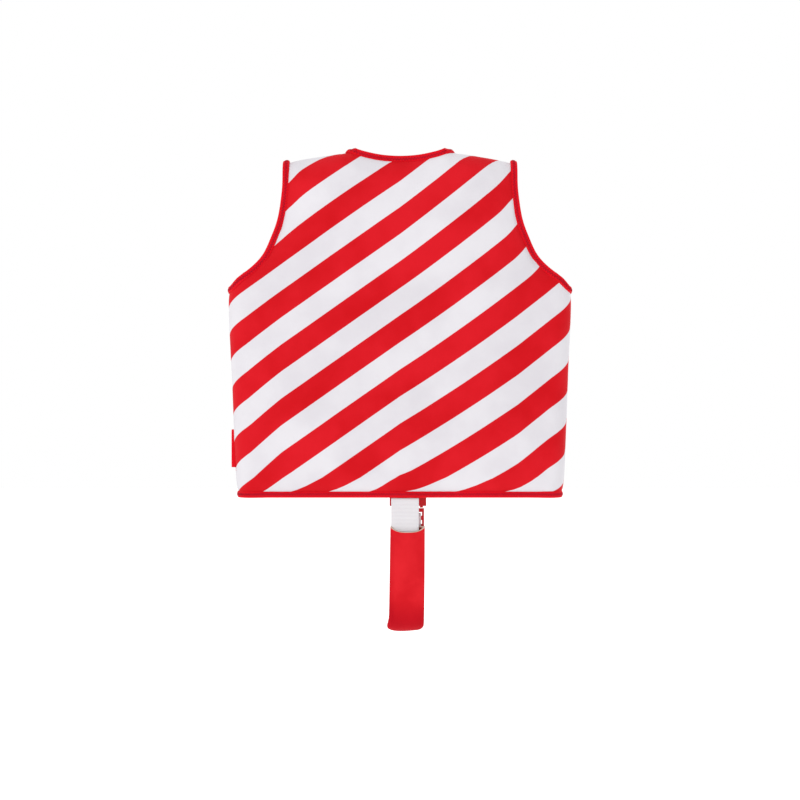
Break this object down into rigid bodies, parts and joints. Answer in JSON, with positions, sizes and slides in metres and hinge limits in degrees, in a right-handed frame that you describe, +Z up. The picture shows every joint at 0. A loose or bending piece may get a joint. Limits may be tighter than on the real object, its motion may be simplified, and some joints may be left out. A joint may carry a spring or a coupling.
{
  "type": "child's float vest",
  "caption": "Padded child's swim float vest with a front zip and a buckled crotch strap in a soft sleeve.",
  "frame": {"origin": "between the shoulders, in the middle plane of the empty vest, a little below the neck's highest points", "axes": "+Z up to the neck, +Y out of the back, -Y out of the zip, +X to the wearer's left"},
  "size_m": [0.3092, 0.046, 0.4445],
  "materials": {
    "stripe_fabric": "knit over foam, printed with slanted red and white bands",
    "lining": "plain red knit",
    "foam": "closed cell foam",
    "binding": "stretch binding with zigzag stitching",
    "webbing": "ribbed white webbing",
    "sleeve": "smooth red neoprene",
    "buckle": "moulded red plastic",
    "zip_tape": "woven tape",
    "zip_teeth": "moulded white plastic"
  },
  "bodies": {
    "back": {"back_shell": "stripe_fabric", "back_foam": "foam", "back_lining": "lining", "front_right_shell": "stripe_fabric", "front_right_foam": "foam", "front_right_lining": "lining", "shoulder_left": "stripe_fabric", "shoulder_right": "stripe_fabric", "armhole_binding_back_left": "binding", "hem_binding_back_left": "binding", "armhole_binding_back_right": "binding", "armhole_binding_front_right": "binding", "neck_binding_front_right": "binding", "hem_binding_front_right": "binding", "hem_binding_back_right": "binding", "neck_binding_back": "binding", "side_tab": "binding", "zip_teeth_right": "zip_teeth", "zip_tape_right": "zip_tape", "zip_top_stop_right": "zip_teeth", "zip_retaining_box": "zip_teeth", "strap_back_leg": "webbing", "strap_front_tab": "webbing", "buckle_socket": "buckle"},
    "front_left": {"front_left_shell": "stripe_fabric", "front_left_foam": "foam", "front_left_lining": "lining", "side_gusset_left": "lining", "armhole_binding_front_left": "binding", "neck_binding_front_left": "binding", "hem_binding_front_left": "binding", "zip_teeth_left": "zip_teeth", "zip_tape_left": "zip_tape", "zip_top_stop_left": "zip_teeth", "zip_insertion_pin": "zip_teeth"},
    "zip_slider": {"zip_slider": "zip_teeth"},
    "zip_pull": {"zip_pull": "zip_teeth"},
    "strap_pad": {"strap_sleeve": "sleeve", "strap_front_leg": "webbing", "buckle_plug": "buckle"},
    "prong_left": {"buckle_prong_left": "buckle"},
    "prong_right": {"buckle_prong_right": "buckle"}
  },
  "joints": [
    {"name": "front_left_open", "type": "hinge", "parent": "back", "child": "front_left", "pos_m": [0.1325, 0, -0.3143], "axis": [0.0411, 0, 0.9992], "range_deg": [0, 90]},
    {"name": "zip_run", "type": "slide", "parent": "back", "child": "zip_slider", "axis": [0, 0, -1], "range_m": [0, 0.185]},
    {"name": "zip_pull_lift", "type": "hinge", "parent": "zip_slider", "child": "zip_pull", "pos_m": [0, -0.0136, -0.0695], "axis": [-1, 0, 0], "range_deg": [0, 80]},
    {"name": "buckle_release", "type": "slide", "parent": "back", "child": "strap_pad", "axis": [0, 0, -1], "range_m": [0, 0.028]},
    {"name": "prong_left_squeeze", "type": "hinge", "parent": "strap_pad", "child": "prong_left", "pos_m": [0.0051, -0.0169, -0.3237], "axis": [0, -1, 0], "range_deg": [0, 10], "stiffness_Nm_per_rad": 0.08},
    {"name": "prong_right_squeeze", "type": "hinge", "parent": "strap_pad", "child": "prong_right", "pos_m": [-0.0199, -0.0169, -0.3237], "axis": [0, -1, 0], "range_deg": [-10, 0], "stiffness_Nm_per_rad": 0.08}
  ],
  "couplings": [
    {"joint": "prong_right_squeeze", "follows": "prong_left_squeeze", "ratio": -1}
  ]
}
